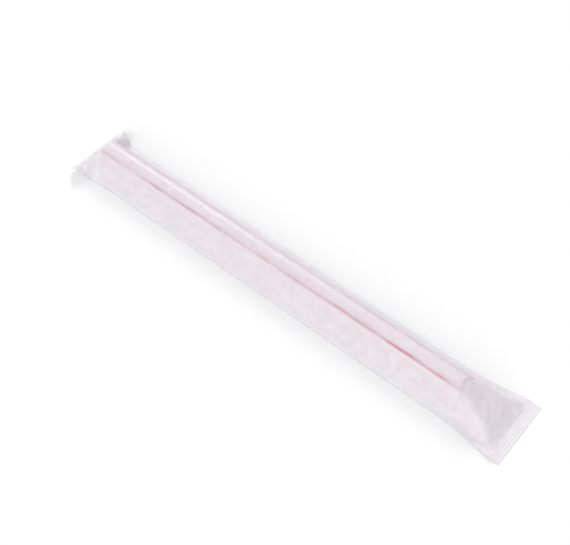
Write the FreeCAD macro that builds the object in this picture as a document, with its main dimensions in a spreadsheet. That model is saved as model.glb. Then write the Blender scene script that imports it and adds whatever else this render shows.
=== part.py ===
import FreeCAD, Part
import enum
import math
import os
import Sketcher

# A jumbo drinking straw lying in its sealed paper sleeve.
# Millimetres. +X runs along the straw to its slanted tip, +Y across, +Z up.
# The origin is on the table, under the middle of the sleeve.

DIMENSIONS = (
    ("straw_length", 210.0, "from the square tail to the point of the tip"),
    ("straw_diameter", 12.0, "outside"),
    ("straw_wall", 0.35, "wall of the tube"),
    ("tip_slant", 10.0, "length of the slanted cut, measured along the straw"),
    ("paper", 0.15, "thickness of one layer of the sleeve"),
    ("seat_gap", 0.1, "play between the straw and the paper round it"),
    ("fold_gap", 0.1, "space left between the two layers inside a folded edge"),
    ("side_reach", 7.5, "paper past each side of the straw where the sleeve is narrowest"),
    ("flare", 2.5, "further reach of each side at the flat ends"),
    ("flange", 1.5, "flat strip along each folded edge"),
    ("waist_run", 45.0, "from each end of the hump to where the sleeve is narrowest"),
    ("tail_overhang", 12.0, "sleeve past the tail of the straw"),
    ("tip_overhang", 18.0, "sleeve past the tip of the straw"),
    ("seal_length", 5.0, "pressed band at each end of the sleeve"),
    ("tail_lift", 3.0, "height of the tail's pressed band above the table"),
    ("tip_lift", 1.2, "height of the tip's pressed band above the table"),
    ("crimp_pitch", 1.2, "from one crimp line to the next"),
    ("crimp_width", 0.5, "width of a crimp line"),
    ("crimp_depth", 0.06, "depth of a crimp line"),
    ("crimp_margin", 0.4, "least plain strip on each side of the crimp lines"),
)

# Places along X, worked out from the driving dimensions.
SLEEVE_LENGTH = "(Sizes.tail_overhang + Sizes.straw_length + Sizes.tip_overhang)"
SLEEVE_TAIL = f"(-{SLEEVE_LENGTH} / 2)"
SLEEVE_TIP = f"({SLEEVE_LENGTH} / 2)"
STRAW_TAIL = f"({SLEEVE_TAIL} + Sizes.tail_overhang)"
STRAW_TIP = f"({SLEEVE_TIP} - Sizes.tip_overhang)"
# The hump is the room for the straw. Its crown starts down where half of the slanted cut is past, and its
# floor leaves the table past the toe, which is the room for the point of the tip.
HUMP_TAIL = f"({STRAW_TAIL} - Sizes.seat_gap)"
HUMP_TIP = f"({STRAW_TIP} - Sizes.tip_slant / 2)"
TOE = f"({STRAW_TIP} + Sizes.seat_gap)"
SEAL_TAIL = f"({SLEEVE_TAIL} + Sizes.seal_length)"
SEAL_TIP = f"({SLEEVE_TIP} - Sizes.seal_length)"

# Sizes across the sleeve, worked out from the driving dimensions.
WAIST_WIDTH = "(Sizes.straw_diameter + 2 * Sizes.side_reach)"
RIM_WIDTH = f"({WAIST_WIDTH} + Sizes.flare)"
FLAT_WIDTH = f"({WAIST_WIDTH} + 2 * Sizes.flare)"
EDGE_HEIGHT = "(2 * Sizes.paper + Sizes.fold_gap)"
STRAW_AXIS = "(Sizes.paper + Sizes.seat_gap + Sizes.straw_diameter / 2)"
HUMP_RADIUS = "(Sizes.straw_diameter / 2 + Sizes.seat_gap + Sizes.paper)"
# The crown comes straight down from the hump to the tip's pressed band, so at the toe it is this much lower.
TOE_SINK = (
    f"(({STRAW_AXIS} + {HUMP_RADIUS} - {EDGE_HEIGHT} - Sizes.tip_lift)"
    f" * ({TOE} - {HUMP_TIP}) / ({SEAL_TIP} - {HUMP_TIP}))"
)

# The crimp lines of a pressed band: as many as fit, centred in it.
CRIMP_STEPS = (
    "floor((Sizes.seal_length - 2 * Sizes.crimp_margin - Sizes.crimp_width) / Sizes.crimp_pitch)"
)
CRIMP_RUN = f"({CRIMP_STEPS} * Sizes.crimp_pitch)"
CRIMP_START = f"((Sizes.seal_length - {CRIMP_RUN}) / 2)"

# How far a cutting outline passes the solid, as a share of what it cuts.
OVERRUN = 0.25


class Point(enum.IntEnum):
    """The points of a sketch's edge, by their codes."""

    START = 1
    END = 2
    CENTRE = 3


class Axis(enum.IntEnum):
    """A sketch's own axes, by their codes."""

    FLAT = -1
    UPRIGHT = -2


START, END, CENTRE = Point
ORIGIN = (Axis.FLAT, START)


def make_sizes(doc):
    """The sheet of driving dimensions: a name, a value and a note in each row."""
    sheet = doc.addObject("Spreadsheet::Sheet", "Sizes")
    for row, (alias, value, note) in enumerate(DIMENSIONS, start=1):
        sheet.set(f"A{row}", alias)
        sheet.set(f"B{row}", str(value))
        sheet.set(f"C{row}", note)
        sheet.setAlias(f"B{row}", alias)
    doc.recompute()


def make_body(doc, label):
    """An empty body whose Label is the sub-part's name."""
    body = doc.addObject("PartDesign::Body", label)
    body.Label = label
    return body


def make_sketch(body, name, role, **offset):
    """A sketch on an origin plane of the body, moved by expressions for x, y and z in that plane's frame."""
    plane = next(item for item in body.Origin.OriginFeatures if item.Role == role)
    sketch = body.newObject("Sketcher::SketchObject", name)
    sketch.AttachmentSupport = [(plane, "")]
    sketch.MapMode = "FlatFace"
    for axis, expression in offset.items():
        sketch.setExpression(f"AttachmentOffset.Base.{axis}", expression)
    return sketch


def constrain(sketch, kind, *places):
    """A constraint without a size. An edge's point is written as (edge, point)."""
    flat = []
    for place in places:
        flat.extend(place if isinstance(place, tuple) else (place,))
    sketch.addConstraint(Sketcher.Constraint(kind, *flat))


def drive(sketch, name, expression, kind, *places):
    """A named size of a sketch that follows an expression."""
    flat = []
    for place in places:
        flat.extend(place if isinstance(place, tuple) else (place,))
    value = sketch.evalExpression(expression)
    index = sketch.addConstraint(Sketcher.Constraint(kind, *flat, value))
    sketch.renameConstraint(index, name)
    sketch.setExpression(f"Constraints.{name}", expression)


def add_line(sketch, start, end):
    """A straight edge between two points of the sketch's plane."""
    return sketch.addGeometry(Part.LineSegment(FreeCAD.Vector(*start, 0), FreeCAD.Vector(*end, 0)))


def add_circle(sketch, name, diameter):
    """A circle about the sketch's origin, of a driven diameter."""
    radius = sketch.evalExpression(diameter) / 2
    circle = sketch.addGeometry(Part.Circle(FreeCAD.Vector(0, 0, 0), FreeCAD.Vector(0, 0, 1), radius))
    constrain(sketch, "Coincident", (circle, CENTRE), ORIGIN)
    drive(sketch, name, diameter, "Diameter", circle)


def make_straw(doc):
    """The tube, with a square tail and a slanted tip whose point lies on the table side."""
    body = make_body(doc, "straw")

    ring = make_sketch(body, "straw_ring", "YZ_Plane", y=STRAW_AXIS, z=STRAW_TAIL)
    add_circle(ring, "outside", "Sizes.straw_diameter")
    add_circle(ring, "bore", "Sizes.straw_diameter - 2 * Sizes.straw_wall")
    tube = body.newObject("PartDesign::Pad", "straw_tube")
    tube.Profile = ring
    tube.setExpression("Length", "Sizes.straw_length")
    doc.recompute()
    whole = tube.Shape.Volume

    # A triangle whose long side is the slanted cut, from the top of the tube to the point of the tip.
    slope = make_sketch(body, "tip_slope", "XZ_Plane", x=STRAW_TIP, y=STRAW_AXIS)
    back = f"Sizes.tip_slant * {1 + OVERRUN}"
    front = f"Sizes.tip_slant * {OVERRUN}"
    rise = f"Sizes.straw_diameter / 2 * {1 + 2 * OVERRUN}"
    back_value, front_value, rise_value = (slope.evalExpression(size) for size in (back, front, rise))
    top_back = (-back_value, rise_value)
    top_front = (front_value, rise_value)
    low_front = (front_value, -rise_value)
    cut = add_line(slope, top_back, low_front)
    face = add_line(slope, low_front, top_front)
    top = add_line(slope, top_front, top_back)
    constrain(slope, "Coincident", (cut, END), (face, START))
    constrain(slope, "Coincident", (face, END), (top, START))
    constrain(slope, "Coincident", (top, END), (cut, START))
    constrain(slope, "Vertical", face)
    constrain(slope, "Horizontal", top)
    drive(slope, "back", back, "DistanceX", (cut, START), ORIGIN)
    drive(slope, "front", front, "DistanceX", ORIGIN, (cut, END))
    drive(slope, "rise", rise, "DistanceY", ORIGIN, (cut, START))
    drive(slope, "drop", rise, "DistanceY", (cut, END), ORIGIN)
    tip = body.newObject("PartDesign::Pocket", "slanted_tip")
    tip.Profile = slope
    tip.Type = "ThroughAll"
    tip.Midplane = True
    doc.recompute()
    if not tip.Shape.Volume < whole:
        raise RuntimeError("the slanted cut takes nothing off the tube")
    return body


def draw_section(sketch, width, edge_height, shoulder, crown_curve):
    """A section of the sleeve: eight edges from the flat base round the right side and over the crown.

    Each side has a folded edge, a flat flange and a flank that rises to its shoulder, where the crown starts.
    Left and right are alike. The edges at the shoulders are returned, for the caller to join and size.
    """
    half = sketch.evalExpression(width) / 2
    height = sketch.evalExpression(edge_height)
    right = [(half, 0), (half, height), (half - sketch.evalExpression("Sizes.flange"), height), shoulder]
    left = [(-across, up) for across, up in reversed(right)]
    base = add_line(sketch, left[-1], right[0])
    edge, flange, flank = (add_line(sketch, *ends) for ends in zip(right, right[1:]))
    crown = sketch.addGeometry(crown_curve)
    left_flank, left_flange, left_edge = (add_line(sketch, *ends) for ends in zip(left, left[1:]))
    for first, second in (
        (base, edge),
        (edge, flange),
        (flange, flank),
        (left_flank, left_flange),
        (left_flange, left_edge),
        (left_edge, base),
    ):
        constrain(sketch, "Coincident", (first, END), (second, START))
    constrain(sketch, "PointOnObject", (base, START), Axis.FLAT)
    constrain(sketch, "Symmetric", (base, START), (base, END), Axis.UPRIGHT)
    constrain(sketch, "Symmetric", (edge, END), (left_edge, START), Axis.UPRIGHT)
    constrain(sketch, "Symmetric", (flange, END), (left_flange, START), Axis.UPRIGHT)
    constrain(sketch, "Vertical", edge)
    constrain(sketch, "Horizontal", flange)
    drive(sketch, "width", width, "DistanceX", (base, START), (base, END))
    drive(sketch, "edge_height", edge_height, "DistanceY", (edge, START), (edge, END))
    drive(sketch, "flange", "Sizes.flange", "DistanceX", (flange, END), (flange, START))
    return flank, crown, left_flank


def make_hump_section(body, name, along, width, depth, sink="0"):
    """The sleeve over the straw: an arc over the top, and straight flanks down to the flanges.

    depth is how far this outline lies inside the paper's outer face, and sink how far the arc has come down.
    """
    sketch = make_sketch(body, name, "YZ_Plane", y=depth, z=along)
    inner_width = f"{width} - 2 * {depth}"
    edge_height = f"{EDGE_HEIGHT} - 2 * {depth}"
    radius = f"{HUMP_RADIUS} - {depth}"
    centre_height = f"{STRAW_AXIS} - {depth} - {sink}"
    # The flank runs from the flange's inner edge and touches the arc.
    bend, middle = (sketch.evalExpression(size) for size in (radius, centre_height))
    across = sketch.evalExpression(f"({inner_width}) / 2 - Sizes.flange")
    up = middle - sketch.evalExpression(edge_height)
    slope = math.atan2(up, across) + math.asin(bend / math.hypot(across, up))
    shoulder = (bend * math.sin(slope), middle + bend * math.cos(slope))
    circle = Part.Circle(FreeCAD.Vector(0, middle, 0), FreeCAD.Vector(0, 0, 1), bend)
    arc = Part.ArcOfCircle(circle, math.pi / 2 - slope, math.pi / 2 + slope)
    flank, crown, left_flank = draw_section(sketch, inner_width, edge_height, shoulder, arc)
    constrain(sketch, "Tangent", (flank, END), (crown, START))
    constrain(sketch, "Tangent", (crown, END), (left_flank, START))
    constrain(sketch, "PointOnObject", (crown, CENTRE), Axis.UPRIGHT)
    drive(sketch, "crown_height", centre_height, "DistanceY", ORIGIN, (crown, CENTRE))
    drive(sketch, "crown_radius", radius, "Radius", crown)
    return sketch


def make_flat_section(body, name, along, lift, depth):
    """The sleeve pressed flat, with the same eight edges as a hump section, lifted off the table.

    depth is how far this outline lies inside the paper's outer face.
    """
    sketch = make_sketch(body, name, "YZ_Plane", y=f"{lift} + {depth}", z=along)
    inner_width = f"{FLAT_WIDTH} - 2 * {depth}"
    edge_height = f"{EDGE_HEIGHT} - 2 * {depth}"
    half_crown = sketch.evalExpression("Sizes.straw_diameter / 2")
    height = sketch.evalExpression(edge_height)
    top = Part.LineSegment(FreeCAD.Vector(half_crown, height, 0), FreeCAD.Vector(-half_crown, height, 0))
    flank, crown, left_flank = draw_section(
        sketch, inner_width, edge_height, (half_crown, height), top
    )
    constrain(sketch, "Coincident", (flank, END), (crown, START))
    constrain(sketch, "Coincident", (crown, END), (left_flank, START))
    constrain(sketch, "Symmetric", (crown, START), (crown, END), Axis.UPRIGHT)
    constrain(sketch, "Horizontal", flank)
    drive(sketch, "crown", "Sizes.straw_diameter", "DistanceX", (crown, END), (crown, START))
    return sketch


def make_loft(body, kind, name, sections):
    """Straight sheets from each section to the next."""
    loft = body.newObject(f"PartDesign::{kind}", name)
    loft.Profile = sections[0]
    loft.Sections = sections[1:]
    loft.Ruled = True
    return loft


def add_crimp_lines(doc, body, name, band_start, lift):
    """Shallow lines pressed across a flat band, a step apart."""
    before = body.Tip.Shape.Volume
    sketch = make_sketch(
        body, f"{name}_line", "XY_Plane", x=f"{band_start} + {CRIMP_START}", z=f"{lift} + {EDGE_HEIGHT}"
    )
    across = f"{FLAT_WIDTH} * {1 + OVERRUN}"
    right, back = (sketch.evalExpression(size) / 2 for size in ("Sizes.crimp_width", across))
    corners = [(-right, -back), (right, -back), (right, back), (-right, back)]
    sides = [add_line(sketch, *ends) for ends in zip(corners, corners[1:] + corners[:1])]
    for side, following in zip(sides, sides[1:] + sides[:1]):
        constrain(sketch, "Coincident", (side, END), (following, START))
    for kind, side in zip(("Horizontal", "Vertical", "Horizontal", "Vertical"), sides):
        constrain(sketch, kind, side)
    near, end, far, _ = sides
    constrain(sketch, "Symmetric", (near, START), (far, START), ORIGIN)
    drive(sketch, "crimp_width", "Sizes.crimp_width", "DistanceX", (near, START), (near, END))
    drive(sketch, "across", across, "DistanceY", (end, START), (end, END))
    groove = body.newObject("PartDesign::Pocket", f"{name}_groove")
    groove.Profile = sketch
    groove.Type = "Length"
    groove.setExpression("Length", "Sizes.crimp_depth")
    doc.recompute()
    if not groove.Shape.Volume < before:
        raise RuntimeError(f"{name} takes nothing off the sleeve")
    lines = body.newObject("PartDesign::LinearPattern", f"{name}_pattern")
    lines.Originals = [groove]
    lines.Direction = (sketch, ["H_Axis"])
    lines.Mode = "Extent"
    lines.setExpression("Length", CRIMP_RUN)
    lines.setExpression("Occurrences", f"{CRIMP_STEPS} + 1")
    body.Tip = lines
    doc.recompute()


def make_wrapper(doc):
    """The paper sleeve: one folded sheet, drawn over the straw and pressed flat at both ends."""
    body = make_body(doc, "wrapper")
    waist_tail = f"{HUMP_TAIL} + Sizes.waist_run"
    waist_tip = f"{HUMP_TIP} - Sizes.waist_run"
    # Where the sleeve slopes, its two faces are also set apart along the straw.
    half_paper = "Sizes.paper / 2"

    # The paper's outer face, from the tail's cut edge to the tip's.
    outer = [
        make_flat_section(body, "tail_edge", SLEEVE_TAIL, "Sizes.tail_lift", "0"),
        make_flat_section(body, "tail_seal", SEAL_TAIL, "Sizes.tail_lift", "0"),
        make_hump_section(body, "tail_rim", f"{HUMP_TAIL} - {half_paper}", RIM_WIDTH, "0"),
        make_hump_section(body, "tail_waist", waist_tail, WAIST_WIDTH, "0"),
        make_hump_section(body, "tip_waist", waist_tip, WAIST_WIDTH, "0"),
        make_hump_section(body, "tip_rim", f"{HUMP_TIP} + {half_paper}", RIM_WIDTH, "0"),
        make_hump_section(body, "toe", f"{TOE} + {half_paper}", RIM_WIDTH, "0", TOE_SINK),
        make_flat_section(body, "tip_seal", SEAL_TIP, "Sizes.tip_lift", "0"),
        make_flat_section(body, "tip_edge", SLEEVE_TIP, "Sizes.tip_lift", "0"),
    ]
    make_loft(body, "AdditiveLoft", "sleeve", outer)
    doc.recompute()
    whole = body.Tip.Shape.Volume

    # The room inside, one layer of paper further in on every side.
    paper = "Sizes.paper"
    inner = [
        make_flat_section(body, "room_tail_seal", f"{SEAL_TAIL} + {half_paper}", "Sizes.tail_lift", paper),
        make_hump_section(body, "room_tail_rim", HUMP_TAIL, RIM_WIDTH, paper),
        make_hump_section(body, "room_tail_waist", waist_tail, WAIST_WIDTH, paper),
        make_hump_section(body, "room_tip_waist", waist_tip, WAIST_WIDTH, paper),
        make_hump_section(body, "room_tip_rim", HUMP_TIP, RIM_WIDTH, paper),
        make_hump_section(body, "room_toe", TOE, RIM_WIDTH, paper, TOE_SINK),
        make_flat_section(body, "room_tip_seal", f"{SEAL_TIP} - {half_paper}", "Sizes.tip_lift", paper),
    ]
    make_loft(body, "SubtractiveLoft", "room", inner)
    doc.recompute()
    if not body.Tip.Shape.Volume < whole:
        raise RuntimeError("the room inside takes nothing off the sleeve")

    add_crimp_lines(doc, body, "tail_crimp", SLEEVE_TAIL, "Sizes.tail_lift")
    add_crimp_lines(doc, body, "tip_crimp", SEAL_TIP, "Sizes.tip_lift")
    return body


def check(doc, bodies):
    """Stop if anything in the document failed, or if a sub-part is not one sound solid."""
    for item in doc.Objects:
        if "Invalid" in item.State or "Error" in item.State:
            raise RuntimeError(f"{item.Name} failed")
    for body in bodies:
        if body.Shape.isNull() or not body.Shape.isValid():
            raise RuntimeError(f"{body.Label} has no valid shape")
        if len(body.Shape.Solids) != 1:
            raise RuntimeError(f"{body.Label} is not one solid")


def main():
    doc = FreeCAD.newDocument("wrapped_straw")
    make_sizes(doc)
    bodies = [make_straw(doc), make_wrapper(doc)]
    doc.recompute()
    check(doc, bodies)
    os.makedirs("parts", exist_ok=True)
    for body in bodies:
        body.Shape.exportStep(f"parts/{body.Label}.step")
        box = body.Shape.BoundBox
        print(body.Label, round(body.Shape.Volume, 1), "mm3", box)


main()
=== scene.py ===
"""Looks of a wrapped drinking straw: a thin paper sleeve drawn over a pink straw, lying on a white table.

The sleeve is a sheet of paper that is let settle over the straw as paper does, with hardly any stretch, a
little stiffness and its seals glued. The sheet's own sums are in millimetres, and the scene is in metres.
"""

import math

import bpy
import numpy as np
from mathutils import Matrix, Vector


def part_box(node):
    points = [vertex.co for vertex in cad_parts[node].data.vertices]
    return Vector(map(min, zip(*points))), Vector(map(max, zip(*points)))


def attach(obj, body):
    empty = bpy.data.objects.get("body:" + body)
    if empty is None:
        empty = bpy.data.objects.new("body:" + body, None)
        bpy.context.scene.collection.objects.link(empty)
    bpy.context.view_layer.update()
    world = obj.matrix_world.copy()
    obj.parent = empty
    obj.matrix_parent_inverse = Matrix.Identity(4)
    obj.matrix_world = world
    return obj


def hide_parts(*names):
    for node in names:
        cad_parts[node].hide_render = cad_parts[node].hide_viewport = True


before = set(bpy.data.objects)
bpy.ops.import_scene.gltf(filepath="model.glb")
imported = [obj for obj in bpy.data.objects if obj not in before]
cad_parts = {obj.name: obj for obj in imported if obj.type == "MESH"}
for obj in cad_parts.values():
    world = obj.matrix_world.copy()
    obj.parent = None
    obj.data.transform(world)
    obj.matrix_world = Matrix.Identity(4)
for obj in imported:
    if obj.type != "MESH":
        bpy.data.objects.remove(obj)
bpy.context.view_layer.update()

MM = 0.001

# Where the solids are. Lengths are in millimetres as far as the straw's mesh, and in metres from the
# materials on
STRAW_LOW, STRAW_HIGH = (np.array(corner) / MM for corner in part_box("straw"))
SLEEVE_LOW, SLEEVE_HIGH = (np.array(corner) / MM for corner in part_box("wrapper"))
RADIUS = (STRAW_HIGH[1] - STRAW_LOW[1]) / 2
AXIS_HEIGHT = (STRAW_HIGH[2] + STRAW_LOW[2]) / 2
STRAW_TAIL, STRAW_TIP = STRAW_LOW[0], STRAW_HIGH[0]
FLAT_WIDTH = SLEEVE_HIGH[1] - SLEEVE_LOW[1]
SLANT = 10.0
WALL = 0.35

# The sheet before it settles
SHEET_LENGTH = 241.4
STEP = 0.8  # from one row of points to the next
PLY = 40  # columns across one ply
SEAL = 5.0
FLANGE = 2  # columns that are glued at each edge
OVER_TOP = 37.6  # the top ply's width over the straw
TAIL_RISE = 3.0  # how far past the straw's tail the top ply still widens
PLY_GAP = 0.12
PLAY = 0.15  # from the straw to the middle of the paper
JITTER = 0.01  # of the first shape, so that the paper doesn't settle evenly
SLACK = 0.004  # spare length along the sleeve, as a share
PATCH_SLACK = 0.01
PATCH_SIZE = (14, 9)  # rows and columns
END_SLACK = 2.0  # how much more of it is past the straw's ends

# How the paper behaves in one step of the settling
STEPS = 500
PASSES = 3
SEED = 5
GRAVITY = 0.001
DAMPING = 0.94
GRIP = 0.004
CONTACT = 0.02
STIFFNESS = 0.04
SHEAR = 0.35
SEAL_STIFFNESS = 0.3

# Creases that handling has left in the top ply
END_CREASES = 60
END_CREASE_PLACE = (1.4, 9.0)  # how their distances from the seal spread
OTHER_CREASES = 140
OTHER_CREASE_SHARE = 0.9
CREASE_LENGTH = (4.0, 13.0)
CREASE_WIDTH = (0.8, 1.7)
CREASE_HEIGHT = (0.12, 0.42)
CREASE_TURN = (0.3, math.pi - 0.3)
CREASE_FREE = 0.6  # how far off the straw a crease has its full height

# The mesh that is made from the settled sheet
FINE_STEP = 0.15
COARSE_STEP = 0.55
CRIMP_PITCH = 1.2
CRIMP_MARGIN = 0.4
CRIMP_DEPTH = 0.1

# Where the paper clings to the straw and the straw shows through: a line at each side with a paler band round
# it, in degrees from the top. The line is partly painted shade: it is put on the straw's flanks and is
# strongest on the near side, to stand for the straw's shaded flank seen through the paper
CLING_AND_SHADE_ANGLE = 36.0
CLING_AND_SHADE_LINE = 5.0
CLING_ABOVE = 20.0
CLING_BELOW = 10.0
# Painted shade: the far side's line is weaker than the near side's, as the near flank is the one away from
# the key light
CLING_AND_SHADE_SHARES = {"band": 0.35, "line": 0.65, "rim": 0.5, "far side": 0.45, "tail": 0.55}
CLING_GAP = 0.5  # how far off the straw it ends
CLING_RIM = 0.9  # half the width of the line over the rim of the straw's tip
LINE_CORE = 0.4  # the even middle of the line and of the rim, as shares of CLING_AND_SHADE_LINE and CLING_RIM
RIM_CORE = 0.3
CLING_STRENGTHENS = (10.0, 90.0)  # where the tail's share goes over to all of it
# Its slow sway along the straw: the length and the start of each wave
CLING_WAVES = ((3.1, 1.0), (6.7, 0.4), (15.0, 2.1), (29.0, 4.0))
CLING_SWAY = 0.7  # degrees
CLING_SPREAD = 0.35
FAR_SIDE_SHIFT = 50.0  # so that the far side and the band's width sway in their own way
WIDTH_SHIFT = 90.0

# How soft the edges of what is pressed flat are, in columns and along the sleeve
PRESSED_COLUMNS = 0.5
PRESSED_BLUR = 0.2

# The straw's mesh
STRAW_SIDES = 96
STRAW_RINGS = 60
LIP_STEPS = 6

# Materials. Patches are counted to a metre
SOFT_STEP = (0.3, 0.7)  # the part of a noise's range in which one value goes over to the other
CLOUD_STEP = (0.35, 0.65)
BREAK_STEP = (0.36, 0.64)
PAPER_COLOURS = ((247, 241, 248), (250, 246, 251))
PAPER_CLOUDS = 130
PAPER_FORMATION = 400
PAPER_FIBRES = 2600
PAPER_GRAIN = {"Strength": 0.4, "Distance": 0.00006}
GLOW = (0.11, 0.23)  # share of the light that goes through the paper
PRESSED_GLOW = 0.4  # how much of it is left where both plies are pressed together
CLEAR = (0.05, 0.85)  # share of the paper that the straw shows through, off it and where it clings
CLING_PATCHES = 50
CLING_BREAKS = 0.3
PLASTIC_COLOURS = ((226, 78, 118), (236, 98, 136))
PLASTIC_LINES = (3, 900, 900)
PLASTIC_GRAIN = {"Strength": 0.3, "Distance": 0.00005}
PLASTIC_GLOW = 0.35
TABLE_COLOURS = ((229, 229, 230), (231, 231, 232))
TABLE_GRAIN = 400
TABLE_HALF = 3.0
TABLE_DROP = 0.00005

# The camera looks from this direction, as the photograph's does
VIEW_BACK = Vector((0.374, -0.454, 0.809)).normalized()
VIEW_DISTANCE = 0.441
AIM = Vector((0.0, 0.0, 0.005))
LENS = 64.0

# Light. The lift takes the lit table top up to white for the camera alone
AMBIENT = 0.55
KEY = {"direction": (-0.50, 0.72, 0.48), "strength": 1.4, "spread": 0.35}
FILL = {"direction": (0.05, -0.84, 0.55), "strength": 1.4, "spread": 0.9}
TABLE_LIFT = 0.215


def eased(share):
    """0 to 1 with a soft start and a soft end."""
    share = np.clip(share, 0, 1)
    return share * share * (3 - 2 * share)


def linear(*levels):
    """A colour of 0 to 255 screen levels as the linear colour that shaders take."""
    shares = [level / 255 for level in levels]
    return (*(s / 12.92 if s <= 0.04045 else ((s + 0.055) / 1.055) ** 2.4 for s in shares), 1.0)


def pull(start, end, rest, firmness=0.5):
    """Moves pairs of points towards their rest distance, in place."""
    apart = end - start
    length = np.sqrt((apart * apart).sum(-1)) + 1e-9
    shift = (firmness * (length - rest) / length)[..., None] * apart
    start += shift
    end -= shift


def off_straw(points):
    """How far points are from the paper's place on the straw, or past its ends."""
    gap = np.hypot(points[..., 1], points[..., 2] - AXIS_HEIGHT) - RADIUS - PLAY
    beyond = np.maximum(points[..., 0] - STRAW_TIP, STRAW_TAIL - points[..., 0])
    return np.maximum(gap, beyond)


def sway(along):
    """A slow wandering along the sleeve, mostly from -1 to 1."""
    return sum(np.sin(along / length + start) for length, start in CLING_WAVES) / 2


class Sheet:
    """The sleeve's paper as a grid of points, in millimetres.

    A row is one station along the sleeve. Its points are a closed loop: columns 0 to PLY cross the top ply
    from the near edge to the far one, and the rest come back across the ply underneath.
    """

    def __init__(self):
        self.random = np.random.default_rng(SEED)
        half = SHEET_LENGTH / 2
        self.along = np.linspace(-half, half, round(SHEET_LENGTH / STEP) + 1)
        self.rows = len(self.along)
        self.step = self.along[1] - self.along[0]
        self.top = np.arange(1, PLY)
        self.under = 2 * PLY - self.top
        self.tail_seal = self.along < SEAL - half
        self.tip_seal = self.along > half - SEAL
        end_seal = (self.tail_seal | self.tip_seal)[:, None]
        edge_seal = np.minimum(self.top, PLY - self.top) <= FLANGE
        self.glued = (end_seal | edge_seal)[..., None]
        self.set_rest_lengths(half)
        self.points = self.draped_shape()

    def set_rest_lengths(self, half):
        """The sheet's own lengths. Over the straw the top ply has more of the loop than the other."""
        tail_rise = (self.along + half - SEAL) / (STRAW_TAIL + half - SEAL + TAIL_RISE)
        tip_rise = (half - SEAL - self.along) / (half - SEAL - STRAW_TIP + SLANT / 2)
        self.hump = np.minimum(eased(tail_rise), eased(tip_rise))
        top_width = FLAT_WIDTH + (OVER_TOP - FLAT_WIDTH) * self.hump
        self.under_width = 2 * FLAT_WIDTH - top_width
        column = FLAT_WIDTH / PLY
        self.across = np.full((self.rows, 2 * PLY), column)
        open_columns = PLY - 2 * FLANGE
        for ply, width in ((self.across[:, :PLY], top_width), (self.across[:, PLY:], self.under_width)):
            ply[:, FLANGE:PLY - FLANGE] = ((width - 2 * FLANGE * column) / open_columns)[:, None]
        more = 1 + END_SLACK * (1 - self.hump)[:, None]
        spare = 1 + (SLACK + PATCH_SLACK * self.patches(*PATCH_SIZE)) * more
        self.lengthwise = (self.step * spare)[:-1]
        self.diagonal = np.hypot((self.across[1:] + self.across[:-1]) / 2, self.lengthwise)

    def patches(self, rows, columns):
        """Soft random patches of about that many rows and columns, with a spread of 1."""
        noise = np.fft.fft2(self.random.normal(size=(self.rows, 2 * PLY)))
        row_waves = np.fft.fftfreq(self.rows)[:, None] * rows
        column_waves = np.fft.fftfreq(2 * PLY)[None, :] * columns
        noise = np.real(np.fft.ifft2(noise * np.exp(-6 * (row_waves**2 + column_waves**2))))
        return noise / noise.std()

    def draped_shape(self):
        """A tent over the straw, which goes down to two flat plies at the seals."""
        reach = RADIUS + PLAY
        points = np.zeros((self.rows, 2 * PLY, 3))
        points[..., 0] = self.along[:, None]
        for row, (hump, width) in enumerate(zip(self.hump, self.under_width)):
            half = width / 2
            turn = math.atan2(AXIS_HEIGHT, half) + math.asin(reach / math.hypot(half, AXIS_HEIGHT))
            leave_y, leave_z = reach * math.sin(turn), AXIS_HEIGHT + reach * math.cos(turn)
            arc, slope = reach * turn, math.hypot(half - leave_y, leave_z)
            path = np.linspace(-arc - slope, arc + slope, PLY + 1)
            share = np.clip((abs(path) - arc) / slope, 0, 1)
            angle = np.minimum(abs(path), arc) / reach
            tent_y = np.where(share > 0, leave_y + (half - leave_y) * share, reach * np.sin(angle))
            tent_z = np.where(share > 0, leave_z * (1 - share), AXIS_HEIGHT + reach * np.cos(angle))
            flat_y = np.linspace(-half, half, PLY + 1)
            points[row, :PLY + 1, 1] = np.sign(path) * tent_y * hump + flat_y * (1 - hump)
            points[row, :PLY + 1, 2] = tent_z * hump + PLY_GAP
            points[row, PLY:, 1] = flat_y[:0:-1]
        return points + self.random.normal(0, JITTER, points.shape)

    def settle(self, steps):
        """Lets the paper find its shape, a small step at a time."""
        before = self.points.copy()
        for _ in range(steps):
            moved = (self.points - before) * DAMPING
            before = self.points.copy()
            self.points = self.points + moved
            self.points[..., 2] -= GRAVITY
            for _ in range(PASSES):
                self.keep_lengths()
                self.bend_back()
                self.keep_plies_apart()
                self.glue()
                self.straighten_seals()
                self.keep_off_straw()
                self.points[..., 2] = np.maximum(self.points[..., 2], 0.0)
            self.rub(before)

    def keep_lengths(self):
        """Paper hardly stretches, along the sleeve, across it or on the skew."""
        points = self.points
        for first in (0, 1):
            pairs = (self.rows - first) // 2
            near = slice(first, first + 2 * pairs - 1, 2)
            far = slice(first + 1, first + 2 * pairs, 2)
            pull(points[near], points[far], self.lengthwise[near])
        for first in (0, 1):
            columns = np.arange(first, 2 * PLY, 2)
            beside = (columns + 1) % (2 * PLY)
            start, end = points[:, columns], points[:, beside]
            pull(start, end, self.across[:, columns])
            points[:, columns], points[:, beside] = start, end
        for first in (0, 1):
            pairs = (self.rows - first) // 2
            near = np.arange(first, first + 2 * pairs - 1, 2)
            for side in (1, -1):
                start, end = points[near], np.roll(points[near + 1], -side, axis=1)
                rest = self.diagonal[near] if side == 1 else np.roll(self.diagonal[near], 1, axis=1)
                pull(start, end, rest, SHEAR)
                points[near], points[near + 1] = start, np.roll(end, side, axis=1)

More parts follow.
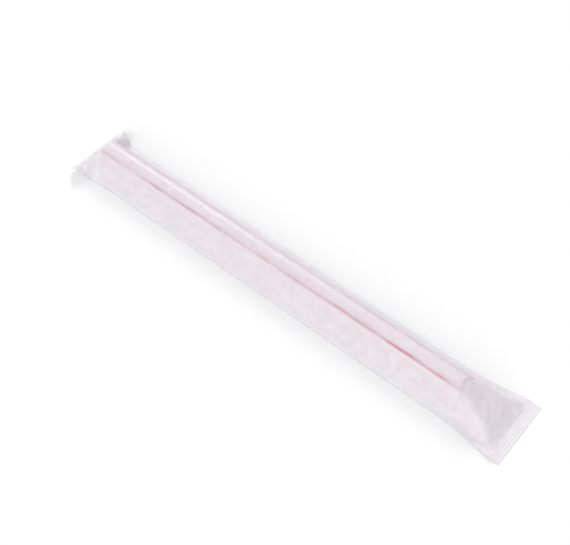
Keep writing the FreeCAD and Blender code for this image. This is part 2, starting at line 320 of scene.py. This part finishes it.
    def bend_back(self):
        """Paper straightens out again, apart from the folds at its two edges."""
        points = self.points
        along = points[2:] - 2 * points[1:-1] + points[:-2]
        around = np.roll(points, -1, axis=1) - 2 * points + np.roll(points, 1, axis=1)
        around[:, [0, PLY]] = 0
        points[2:] -= STIFFNESS * along
        points[:-2] -= STIFFNESS * along
        points[1:-1] += 2 * STIFFNESS * along
        points -= STIFFNESS * (np.roll(around, 1, axis=1) + np.roll(around, -1, axis=1) - 2 * around)

    def keep_plies_apart(self):
        """The top ply doesn't go through the one underneath."""
        gap = self.points[:, self.top, 2] - self.points[:, self.under, 2]
        push = np.maximum(PLY_GAP - gap, 0) / 2
        self.points[:, self.top, 2] += push
        self.points[:, self.under, 2] -= push

    def glue(self):
        """The plies are joined at both end seals, and along both edges."""
        half_gap = np.array([0, 0, PLY_GAP / 2])
        top, under = self.points[:, self.top], self.points[:, self.under]
        middle = (top + under) / 2
        self.points[:, self.top] = np.where(self.glued, middle + half_gap, top)
        self.points[:, self.under] = np.where(self.glued, middle - half_gap, under)

    def straighten_seals(self):
        """A pressed seal is stiff, so each of its rows stays nearly straight across."""
        lean = np.linspace(-1, 1, PLY + 1)
        lean /= np.sqrt((lean * lean).sum())
        plies = (np.arange(PLY + 1), np.arange(2 * PLY, PLY - 1, -1) % (2 * PLY))
        for seal in (self.tail_seal, self.tip_seal):
            rows = self.points[seal]
            for ply in plies:
                for axis in (0, 2):
                    values = rows[:, ply, axis]
                    slope = (values * lean).sum(1, keepdims=True)
                    line = values.mean(1, keepdims=True) + slope * lean
                    rows[:, ply, axis] = values + SEAL_STIFFNESS * (line - values)
            self.points[seal] = rows

    def keep_off_straw(self):
        """Nothing goes into the straw, whose tip is cut on a slant."""
        along, across, height = self.points[..., 0], self.points[..., 1], self.points[..., 2] - AXIS_HEIGHT
        away = np.hypot(across, height) + 1e-9
        tip = STRAW_TIP - SLANT * (1 + height / away) / 2
        beside = (along > STRAW_TAIL - self.step) & (along < tip + self.step) & (away < RADIUS + PLAY)
        out = np.where(beside, (RADIUS + PLAY) / away, 1.0)
        self.points[..., 1] = across * out
        self.points[..., 2] = height * out + AXIS_HEIGHT

    def rub(self, before):
        """What lies on the straw or on the table stays there unless it is pushed well along."""
        across, height = self.points[..., 1], self.points[..., 2]
        on_straw = np.hypot(across, height - AXIS_HEIGHT) < RADIUS + PLAY + CONTACT
        lying = on_straw | (height < CONTACT)
        slide = (self.points - before)[..., :2]
        length = np.sqrt((slide * slide).sum(-1)) + 1e-9
        kept = np.where(lying, np.maximum(1 - GRIP / length, 0), 1.0)
        self.points[..., :2] = before[..., :2] + slide * kept[..., None]

    def crease(self):
        """Adds short straight creases to the top ply, most of them past the straw's ends."""
        top = self.points[:, :PLY + 1]
        normal = np.cross(np.gradient(top, axis=0), np.gradient(top, axis=1))
        normal /= np.linalg.norm(normal, axis=-1, keepdims=True)
        along = self.along[:, None]
        across = np.linspace(-FLAT_WIDTH, FLAT_WIDTH, PLY + 1)[None, :] / 2
        height = np.zeros((self.rows, PLY + 1))
        limits = (CREASE_LENGTH, CREASE_WIDTH, CREASE_HEIGHT, CREASE_TURN)
        for crease in range(END_CREASES + OTHER_CREASES):
            length, width, tall, turn = (self.random.uniform(*limit) for limit in limits)
            if crease < END_CREASES:
                from_seal = self.random.gamma(*END_CREASE_PLACE)
                middle = self.random.choice((-1, 1)) * (SHEET_LENGTH / 2 - SEAL - from_seal)
            else:
                tall *= OTHER_CREASE_SHARE
                middle = self.random.uniform(STRAW_TAIL, STRAW_TIP)
            beside = across - self.random.uniform(-FLAT_WIDTH / 2, FLAT_WIDTH / 2)
            on = (along - middle) * math.cos(turn) + beside * math.sin(turn)
            off = beside * math.cos(turn) - (along - middle) * math.sin(turn)
            ridge = eased(1 - abs(on) / length) * np.clip(1 - abs(off) / width, 0, 1)
            height = np.maximum(height, tall * ridge)
        height[:, [0, PLY]] = 0
        height[self.tail_seal | self.tip_seal] = 0
        height *= eased(off_straw(top) / CREASE_FREE)
        top += normal * height[..., None]

    def finer(self):
        """The settled shape on a finer grid, closely spaced over the seals, and each row's place in it."""
        seal_rows = SEAL / self.step
        last = self.rows - 1
        fine = FINE_STEP / self.step
        coarse = COARSE_STEP / self.step
        rows = np.concatenate([
            np.arange(0, seal_rows, fine),
            np.arange(seal_rows, last - seal_rows, coarse),
            np.linspace(last - seal_rows, last, round(seal_rows / fine) + 1),
        ])
        points = smooth_through(self.points, rows)
        columns = np.arange(2 * PLY) / 2
        loop = np.swapaxes(points, 0, 1)
        top = smooth_through(loop[:PLY + 1], columns)
        under = smooth_through(np.concatenate([loop[PLY:], loop[:1]]), columns)
        return np.swapaxes(np.concatenate([top, under]), 0, 1), rows * self.step


def smooth_through(points, at):
    """A smooth curve through the rows of points, read at places given in rows."""
    last = len(points) - 1
    row = np.minimum(at.astype(int), last - 1)
    t = (at - row)[:, None, None]
    before, start, end, after = (points[np.clip(row + shift, 0, last)] for shift in (-1, 0, 1, 2))
    bend = 2 * before - 5 * start + 4 * end - after
    twist = 3 * (start - end) + after - before
    return start + t / 2 * (end - before + t * (bend + t * twist))


def emboss_seals(points, along):
    """Presses the crimp lines into both end seals, through both plies."""
    from_end = np.minimum(along, along[-1] - along)
    inside = (from_end > CRIMP_MARGIN) & (from_end < SEAL - CRIMP_MARGIN)
    waves = np.cos((from_end - CRIMP_MARGIN) / CRIMP_PITCH * 2 * math.pi) - 1
    points[..., 2] += np.where(inside, waves * CRIMP_DEPTH / 2, 0)[:, None] + CRIMP_DEPTH


def new_piece(name, vertices, faces, stands_for):
    """A smooth mesh that rides on the object and stands for a CAD node."""
    mesh = bpy.data.meshes.new(name)
    mesh.from_pydata(vertices.tolist(), [], faces)
    mesh.validate()
    mesh.shade_smooth()
    piece = bpy.data.objects.new(name, mesh)
    bpy.context.collection.objects.link(piece)
    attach(piece, "root")
    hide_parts(stands_for)
    return piece


def grid_faces(rows, columns):
    """Quads between neighbouring rows of a grid whose rows are closed loops."""
    index = np.arange(rows * columns).reshape(rows, columns)
    start, end = index[:-1], index[1:]
    beside = [np.roll(part, -1, axis=1) for part in (start, end)]
    return np.stack([start, end, beside[1], beside[0]], -1).reshape(-1, 4).tolist()


def end_faces(first, columns, flip):
    """Closes a cut end, from the top ply's edge to the edge of the ply underneath."""
    half = columns // 2
    faces = [[0, 1, columns - 1]]
    faces += [[j, j + 1, columns - j - 1, columns - j] for j in range(1, half - 1)]
    faces += [[half - 1, half, half + 1]]
    return [[first + j for j in (face[::-1] if flip else face)] for face in faces]


def cling_and_painted_shade(points):
    """How firmly the paper lies on the straw at each point, from 0 to 1, with painted shade: the line on each
    flank, strongest on the near side, stands for the straw's shaded flank seen through the paper.
    """
    along = points[:, 0]
    turn = np.arctan2(points[:, 1], points[:, 2] - AXIS_HEIGHT)
    near_side = turn < 0
    place = along + np.where(near_side, 0, FAR_SIDE_SHIFT)
    lower = abs(np.degrees(turn)) - CLING_AND_SHADE_ANGLE - CLING_SWAY * sway(place)
    reach = np.where(lower > 0, CLING_BELOW, CLING_ABOVE) * (1 + CLING_SPREAD * sway(place + WIDTH_SHIFT))
    band = CLING_AND_SHADE_SHARES["band"] * eased(1 - abs(lower) / reach)
    line = CLING_AND_SHADE_SHARES["line"] * eased(1 + LINE_CORE - abs(lower) / CLING_AND_SHADE_LINE)
    # Painted shade: the line is strongest on the near side, the straw's flank that faces away from the key
    # light
    side = np.where(near_side, 1.0, CLING_AND_SHADE_SHARES["far side"])
    past_rim = along - STRAW_TIP + SLANT * (1 + np.cos(turn)) / 2
    rim = CLING_AND_SHADE_SHARES["rim"] * eased(1 + RIM_CORE - abs(past_rim) / CLING_RIM)
    cling_and_shade = np.maximum((band + line) * side * eased(1 - past_rim / CLING_RIM), rim)
    first, last = CLING_STRENGTHENS
    tail_share = CLING_AND_SHADE_SHARES["tail"]
    strength = tail_share + (1 - tail_share) * eased((along - first) / (last - first))
    return cling_and_shade * strength * (1 - eased(off_straw(points) / CLING_GAP))


def pressed_flat(along, columns):
    """1 where both plies are pressed together, at the seals and along the edges, and 0 elsewhere."""
    from_end = np.minimum(along, along[-1] - along)[:, None]
    from_middle = abs((np.arange(columns) / 2) % PLY - PLY / 2)[None, :]
    edge = eased((from_middle - PLY / 2 + FLANGE + PRESSED_COLUMNS) / PRESSED_COLUMNS)
    seal = eased((SEAL + PRESSED_BLUR - from_end) / PRESSED_BLUR)
    return np.clip(edge + seal, 0, 1)


def make_sleeve():
    """The paper sleeve. Its mesh says where it clings to the straw, with painted shade along the straw's near
    flank, and where it is pressed flat.
    """
    sheet = Sheet()
    sheet.settle(STEPS)
    sheet.crease()
    points, along = sheet.finer()
    emboss_seals(points, along)
    rows, columns = points.shape[:2]
    faces = grid_faces(rows, columns)
    faces += end_faces(0, columns, flip=False)
    faces += end_faces((rows - 1) * columns, columns, flip=True)
    flat = points.reshape(-1, 3)
    sleeve = new_piece("paper_sleeve", flat * MM, faces, "wrapper")
    # The touch mask is partly where the paper touches the straw and partly painted shade along the straw's
    # near flank
    for name, values in (("touch_and_painted_shade", cling_and_painted_shade(flat)), ("pressed", pressed_flat(along, columns))):
        layer = sleeve.data.attributes.new(name, "FLOAT", "POINT")
        layer.data.foreach_set("value", values.astype(np.float32).ravel())
    return sleeve


def make_straw():
    """The straw: a thin tube with rounded lips, square at the tail and slanted at the tip."""
    half_wall = WALL / 2
    middle = RADIUS - half_wall
    turns = np.linspace(0, math.pi, LIP_STEPS + 1)[1:-1]
    shares = np.linspace(0, 1, STRAW_RINGS)
    # Each ring of points: its radius, its share of the way from tail to tip, and how far a lip takes it on
    rings = [(RADIUS, share, 0.0) for share in shares]
    rings += [(middle + half_wall * math.cos(turn), 1.0, half_wall * math.sin(turn)) for turn in turns]
    rings += [(RADIUS - WALL, share, 0.0) for share in shares[::-1]]
    rings += [(middle - half_wall * math.cos(turn), 0.0, -half_wall * math.sin(turn)) for turn in turns]
    radius, share, on = (np.array(values)[:, None] for values in zip(*rings))
    angle = np.linspace(0, 2 * math.pi, STRAW_SIDES, endpoint=False)[None, :]
    tail = STRAW_TAIL + half_wall
    tip = STRAW_TIP - half_wall - SLANT * (1 + np.cos(angle)) / 2
    along = tail + share * (tip - tail) + on
    vertices = np.stack([along, radius * np.sin(angle), AXIS_HEIGHT + radius * np.cos(angle)], -1)
    faces = grid_faces(len(rings), STRAW_SIDES)
    first, last = np.arange(STRAW_SIDES), np.arange(STRAW_SIDES) + (len(rings) - 1) * STRAW_SIDES
    faces += np.stack([last, first, np.roll(first, -1), np.roll(last, -1)], -1).tolist()
    return new_piece("straw_tube", vertices.reshape(-1, 3) * MM, faces, "straw")


class Nodes:
    """The shader tree of a material or a world, with short ways to add to it."""

    def __init__(self, owner):
        owner.use_nodes = True
        self.tree = owner.node_tree
        self.tree.nodes.clear()

    def add(self, kind, inputs=None, **settings):
        """A new node. An input is a plain value or another node's output."""
        node = self.tree.nodes.new(kind)
        for name, value in settings.items():
            setattr(node, name, value)
        for name, value in (inputs or {}).items():
            if isinstance(value, bpy.types.NodeSocket):
                self.tree.links.new(value, node.inputs[name])
            else:
                node.inputs[name].default_value = value
        return node

    def noise(self, place, scale, detail=2.0):
        """Soft random values from 0 to 1, with that many patches to a metre."""
        inputs = {"Vector": place, "Scale": scale, "Detail": detail}
        return self.add("ShaderNodeTexNoise", inputs).outputs["Fac"]

    def ranged(self, value, low, high, to_low, to_high):
        """A value from low to high as one from to_low to to_high, held at both ends."""
        inputs = {"Value": value, "From Min": low, "From Max": high, "To Min": to_low, "To Max": to_high}
        return self.add("ShaderNodeMapRange", inputs).outputs["Result"]

    def sum(self, operation, first, second):
        """One sum of two numbers."""
        return self.add("ShaderNodeMath", {0: first, 1: second}, operation=operation).outputs[0]

    def between(self, noise, colours, step):
        """One screen colour where the noise is below the step, the other above it, a soft change between."""
        factor = self.ranged(noise, *step, 0.0, 1.0)
        first, second = (linear(*levels) for levels in colours)
        # The Mix node's sockets 0, 6 and 7 are its factor and its two colours, and output 2 is the result
        return self.add("ShaderNodeMix", {0: factor, 6: first, 7: second}, data_type="RGBA").outputs[2]

    def mixed(self, factor, first, second):
        """A surface between two others."""
        return self.add("ShaderNodeMixShader", {0: factor, 1: first, 2: second}).outputs[0]


def paper_material():
    """Milky paper that lets light through, and that the straw shows through where the paper clings to it and
    along a line of painted shade on the straw's near flank.
    """
    material = bpy.data.materials.new("sleeve_paper")
    nodes = Nodes(material)
    place = nodes.add("ShaderNodeTexCoord").outputs["Object"]
    colour = nodes.between(nodes.noise(place, PAPER_CLOUDS, detail=5), PAPER_COLOURS, CLOUD_STEP)
    fibres = nodes.noise(place, PAPER_FIBRES, detail=3)
    grain = nodes.add("ShaderNodeBump", {"Height": fibres, **PAPER_GRAIN}).outputs["Normal"]
    surface = nodes.add("ShaderNodeBsdfPrincipled", {
        "Base Color": colour,
        "Roughness": 0.42,
        "Specular IOR Level": 0.45,
        "Sheen Weight": 0.15,
        "Normal": grain,
    }).outputs[0]
    glow = nodes.add("ShaderNodeBsdfTranslucent", {"Color": colour, "Normal": grain}).outputs[0]
    pressed = nodes.add("ShaderNodeAttribute", attribute_name="pressed").outputs["Fac"]
    lets_through = nodes.ranged(nodes.noise(place, PAPER_FORMATION, detail=6), *SOFT_STEP, *GLOW)
    share = nodes.sum("MULTIPLY", lets_through, nodes.ranged(pressed, 0.0, 1.0, 1.0, PRESSED_GLOW))
    sheet = nodes.mixed(share, surface, glow)
    # The straw shows through most where the mask is high: partly where the paper touches the straw, partly
    # painted shade along its near flank
    touch_and_painted_shade = nodes.add("ShaderNodeAttribute", attribute_name="touch_and_painted_shade").outputs["Fac"]
    broken = nodes.ranged(nodes.noise(place, CLING_PATCHES), *BREAK_STEP, CLING_BREAKS, 1.0)
    clear = nodes.ranged(nodes.sum("MULTIPLY", touch_and_painted_shade, broken), 0.0, 1.0, *CLEAR)
    through = nodes.add("ShaderNodeBsdfTransparent").outputs[0]
    nodes.add("ShaderNodeOutputMaterial", {"Surface": nodes.mixed(clear, sheet, through)})
    return material


def plastic_material():
    """Pink plastic with the faint lines that the die leaves along it."""
    material = bpy.data.materials.new("straw_plastic")
    nodes = Nodes(material)
    place = nodes.add("ShaderNodeTexCoord").outputs["Object"]
    drawn = nodes.add("ShaderNodeMapping", {"Vector": place, "Scale": PLASTIC_LINES}).outputs["Vector"]
    lines = nodes.noise(drawn, 1, detail=3)
    colour = nodes.between(lines, PLASTIC_COLOURS, SOFT_STEP)
    grain = nodes.add("ShaderNodeBump", {"Height": lines, **PLASTIC_GRAIN}).outputs["Normal"]
    surface = nodes.add("ShaderNodeBsdfPrincipled", {
        "Base Color": colour,
        "Roughness": 0.28,
        "Specular IOR Level": 0.5,
        "Normal": grain,
    }).outputs[0]
    glow = nodes.add("ShaderNodeBsdfTranslucent", {"Color": colour}).outputs[0]
    nodes.add("ShaderNodeOutputMaterial", {"Surface": nodes.mixed(PLASTIC_GLOW, surface, glow)})
    return material


def seen_directly(nodes):
    """1 for what the camera sees, also in a reflection or through glass, and 0 for what lights the object."""
    path = nodes.add("ShaderNodeLightPath").outputs
    reflected = nodes.sum("MAXIMUM", path["Is Glossy Ray"], path["Is Transmission Ray"])
    return nodes.sum("MAXIMUM", path["Is Camera Ray"], reflected)


def make_table():
    """A white table top, which shows white and keeps the object's shadow."""
    mesh = bpy.data.meshes.new("table")
    corners = [(x * TABLE_HALF, y * TABLE_HALF, 0) for x, y in ((-1, -1), (1, -1), (1, 1), (-1, 1))]
    mesh.from_pydata(corners, [], [(0, 1, 2, 3)])
    table = bpy.data.objects.new("table", mesh)
    bpy.context.collection.objects.link(table)
    table.location.z = -TABLE_DROP
    material = bpy.data.materials.new("table_white")
    nodes = Nodes(material)
    place = nodes.add("ShaderNodeTexCoord").outputs["Object"]
    colour = nodes.between(nodes.noise(place, TABLE_GRAIN), TABLE_COLOURS, SOFT_STEP)
    lit = nodes.add("ShaderNodeBsdfDiffuse", {"Color": colour}).outputs[0]
    lift = nodes.ranged(seen_directly(nodes), 0.0, 1.0, 0.0, TABLE_LIFT)
    shine = nodes.add("ShaderNodeEmission", {"Strength": lift}).outputs[0]
    both = nodes.add("ShaderNodeAddShader", {0: lit, 1: shine}).outputs[0]
    nodes.add("ShaderNodeOutputMaterial", {"Surface": both})
    mesh.materials.append(material)


def make_light():
    """An even white room, soft light from behind the object, and softer light from the front."""
    world = bpy.data.worlds.new("room")
    bpy.context.scene.world = world
    nodes = Nodes(world)
    strength = nodes.ranged(seen_directly(nodes), 0.0, 1.0, AMBIENT, 1.0)
    background = nodes.add("ShaderNodeBackground", {"Color": (1, 1, 1, 1), "Strength": strength}).outputs[0]
    nodes.add("ShaderNodeOutputWorld", {"Surface": background})
    for name, facts in (("key", KEY), ("fill", FILL)):
        light = bpy.data.lights.new(name, "SUN")
        light.energy = facts["strength"]
        light.angle = facts["spread"]
        lamp = bpy.data.objects.new(name, light)
        lamp.rotation_euler = Vector(facts["direction"]).to_track_quat("Z", "Y").to_euler()
        bpy.context.collection.objects.link(lamp)


def make_camera():
    """The camera, level and without depth of field."""
    camera = bpy.data.objects.new("camera", bpy.data.cameras.new("camera"))
    camera.data.lens = LENS
    camera.location = AIM + VIEW_BACK * VIEW_DISTANCE
    camera.rotation_euler = (-VIEW_BACK).to_track_quat("-Z", "Y").to_euler()
    bpy.context.collection.objects.link(camera)
    bpy.context.scene.camera = camera


make_sleeve().data.materials.append(paper_material())
make_straw().data.materials.append(plastic_material())
make_table()
make_light()
make_camera()
bpy.context.scene.view_settings.view_transform = "Standard"
